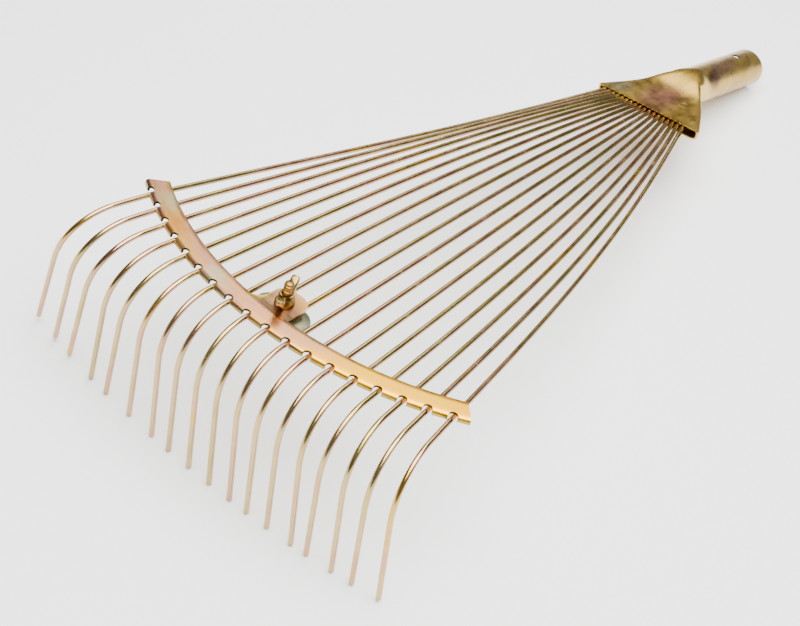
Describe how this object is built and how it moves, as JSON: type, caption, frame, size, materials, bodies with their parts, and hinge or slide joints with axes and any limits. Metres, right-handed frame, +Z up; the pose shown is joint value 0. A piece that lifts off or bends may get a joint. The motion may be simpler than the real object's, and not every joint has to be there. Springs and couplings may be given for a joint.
{
  "type": "adjustable fan rake head",
  "caption": "Wire-tine fan rake head with a rolled sheet socket and a notched spreader bar that slides along the tines and is locked by a wing nut.",
  "frame": {"origin": "on the floor, below the middle of the rake's outline", "axes": "+X from the socket towards the tines, +Y across the fan, +Z up as the rake lies on its tips"},
  "size_m": [0.6302, 0.2952, 0.1198],
  "materials": {
    "head": "yellow-passivated zinc plate",
    "wire": "yellow-passivated zinc plate",
    "bar": "yellow-passivated zinc plate",
    "clamp": "zinc plate",
    "fixing": "yellow-passivated zinc plate"
  },
  "bodies": {
    "head": {"socket_head": "head"},
    "tine_01": {"tine_01": "wire"},
    "tine_02": {"tine_02": "wire"},
    "tine_03": {"tine_03": "wire"},
    "tine_04": {"tine_04": "wire"},
    "tine_05": {"tine_05": "wire"},
    "tine_06": {"tine_06": "wire"},
    "tine_07": {"tine_07": "wire"},
    "tine_08": {"tine_08": "wire"},
    "tine_09": {"tine_09": "wire"},
    "tine_10": {"tine_10": "wire"},
    "tine_11": {"tine_11": "wire"},
    "tine_12": {"tine_12": "wire"},
    "tine_13": {"tine_13": "wire"},
    "tine_14": {"tine_14": "wire"},
    "tine_15": {"tine_15": "wire"},
    "tine_16": {"tine_16": "wire"},
    "tine_17": {"tine_17": "wire"},
    "tine_18": {"tine_18": "wire"},
    "spreader": {"spreader_bar": "bar", "clamp_plate": "clamp", "clamp_bolt": "fixing"},
    "wing_nut": {"wing_nut": "fixing"}
  },
  "joints": [
    {"name": "spreader_slide", "type": "slide", "parent": "head", "child": "spreader", "axis": [0.9932, 0, 0.1166], "range_m": [-0.04, 0]},
    {"name": "tine_01_hinge", "type": "hinge", "parent": "head", "child": "tine_01", "pos_m": [-0.1541, -0.02614, 0.04789], "axis": [0.1086, -0.3626, -0.9256], "range_deg": [0, 1.16]},
    {"name": "tine_02_hinge", "type": "hinge", "parent": "head", "child": "tine_02", "pos_m": [-0.15415, -0.02215, 0.04831], "axis": [0.1105, -0.3173, -0.9418], "range_deg": [0, 0.908]},
    {"name": "tine_03_hinge", "type": "hinge", "parent": "head", "child": "tine_03", "pos_m": [-0.1542, -0.01818, 0.04873], "axis": [0.1128, -0.2537, -0.9607], "range_deg": [0, 0.701]},
    {"name": "tine_04_hinge", "type": "hinge", "parent": "head", "child": "tine_04", "pos_m": [-0.15425, -0.01423, 0.04915], "axis": [0.115, -0.1643, -0.9797], "range_deg": [0, 0.535]},
    {"name": "tine_05_hinge", "type": "hinge", "parent": "head", "child": "tine_05", "pos_m": [-0.1543, -0.01028, 0.04957], "axis": [0.1165, -0.0378, -0.9925], "range_deg": [0, 0.403]},
    {"name": "tine_06_hinge", "type": "hinge", "parent": "head", "child": "tine_06", "pos_m": [-0.15435, -0.00635, 0.04999], "axis": [0.1154, 0.1416, -0.9832], "range_deg": [0, 0.3]},
    {"name": "tine_07_hinge", "type": "hinge", "parent": "head", "child": "tine_07", "pos_m": [-0.1544, -0.00242, 0.05041], "axis": [0.1073, 0.3913, -0.914], "range_deg": [0, 0.222]},
    {"name": "tine_08_hinge", "type": "hinge", "parent": "head", "child": "tine_08", "pos_m": [-0.15445, 0.0015, 0.05083], "axis": [0.0828, 0.7037, -0.7057], "range_deg": [0, 0.17]},
    {"name": "tine_09_hinge", "type": "hinge", "parent": "head", "child": "tine_09", "pos_m": [-0.1545, 0.00542, 0.05125], "axis": [0.0321, 0.9612, -0.2738], "range_deg": [0, 0.145]},
    {"name": "tine_10_hinge", "type": "hinge", "parent": "head", "child": "tine_10", "pos_m": [-0.15455, 0.00934, 0.05167], "axis": [-0.0309, 0.9643, 0.2629], "range_deg": [0, 0.15]},
    {"name": "tine_11_hinge", "type": "hinge", "parent": "head", "child": "tine_11", "pos_m": [-0.1546, 0.01326, 0.05209], "axis": [-0.0767, 0.753, 0.6535], "range_deg": [0, 0.182]},
    {"name": "tine_12_hinge", "type": "hinge", "parent": "head", "child": "tine_12", "pos_m": [-0.15465, 0.01718, 0.05251], "axis": [-0.101, 0.499, 0.8607], "range_deg": [0, 0.235]},
    {"name": "tine_13_hinge", "type": "hinge", "parent": "head", "child": "tine_13", "pos_m": [-0.1547, 0.0211, 0.05294], "axis": [-0.112, 0.2773, 0.9542], "range_deg": [0, 0.309]},
    {"name": "tine_14_hinge", "type": "hinge", "parent": "head", "child": "tine_14", "pos_m": [-0.15474, 0.02504, 0.05335], "axis": [-0.116, 0.1011, 0.9881], "range_deg": [0, 0.405]},
    {"name": "tine_15_hinge", "type": "hinge", "parent": "head", "child": "tine_15", "pos_m": [-0.15479, 0.02898, 0.05378], "axis": [-0.1165, -0.0342, 0.9926], "range_deg": [0, 0.528]},
    {"name": "tine_16_hinge", "type": "hinge", "parent": "head", "child": "tine_16", "pos_m": [-0.15484, 0.03294, 0.0542], "axis": [-0.1155, -0.1363, 0.9839], "range_deg": [0, 0.685]},
    {"name": "tine_17_hinge", "type": "hinge", "parent": "head", "child": "tine_17", "pos_m": [-0.15489, 0.03691, 0.05462], "axis": [-0.1139, -0.2126, 0.9705], "range_deg": [0, 0.882]},
    {"name": "tine_18_hinge", "type": "hinge", "parent": "head", "child": "tine_18", "pos_m": [-0.15494, 0.0409, 0.05504], "axis": [-0.1123, -0.2695, 0.9564], "range_deg": [0, 1.13]},
    {"name": "wing_nut_spin", "type": "hinge", "parent": "spreader", "child": "wing_nut", "pos_m": [0.25152, 0.00738, 0.10919], "axis": [-0.1166, 0, 0.9932], "continuous": true}
  ],
  "couplings": [
    {"joint": "tine_01_hinge", "follows": "spreader_slide", "rad_per_m": -0.50373},
    {"joint": "tine_02_hinge", "follows": "spreader_slide", "rad_per_m": -0.39191},
    {"joint": "tine_03_hinge", "follows": "spreader_slide", "rad_per_m": -0.30167},
    {"joint": "tine_04_hinge", "follows": "spreader_slide", "rad_per_m": -0.22922},
    {"joint": "tine_05_hinge", "follows": "spreader_slide", "rad_per_m": -0.17158},
    {"joint": "tine_06_hinge", "follows": "spreader_slide", "rad_per_m": -0.12652},
    {"joint": "tine_07_hinge", "follows": "spreader_slide", "rad_per_m": -0.09263},
    {"joint": "tine_08_hinge", "follows": "spreader_slide", "rad_per_m": -0.06966},
    {"joint": "tine_09_hinge", "follows": "spreader_slide", "rad_per_m": -0.05886},
    {"joint": "tine_10_hinge", "follows": "spreader_slide", "rad_per_m": -0.06129},
    {"joint": "tine_11_hinge", "follows": "spreader_slide", "rad_per_m": -0.07522},
    {"joint": "tine_12_hinge", "follows": "spreader_slide", "rad_per_m": -0.09837},
    {"joint": "tine_13_hinge", "follows": "spreader_slide", "rad_per_m": -0.13036},
    {"joint": "tine_14_hinge", "follows": "spreader_slide", "rad_per_m": -0.17234},
    {"joint": "tine_15_hinge", "follows": "spreader_slide", "rad_per_m": -0.22624},
    {"joint": "tine_16_hinge", "follows": "spreader_slide", "rad_per_m": -0.29455},
    {"joint": "tine_17_hinge", "follows": "spreader_slide", "rad_per_m": -0.38035},
    {"joint": "tine_18_hinge", "follows": "spreader_slide", "rad_per_m": -0.48749}
  ]
}
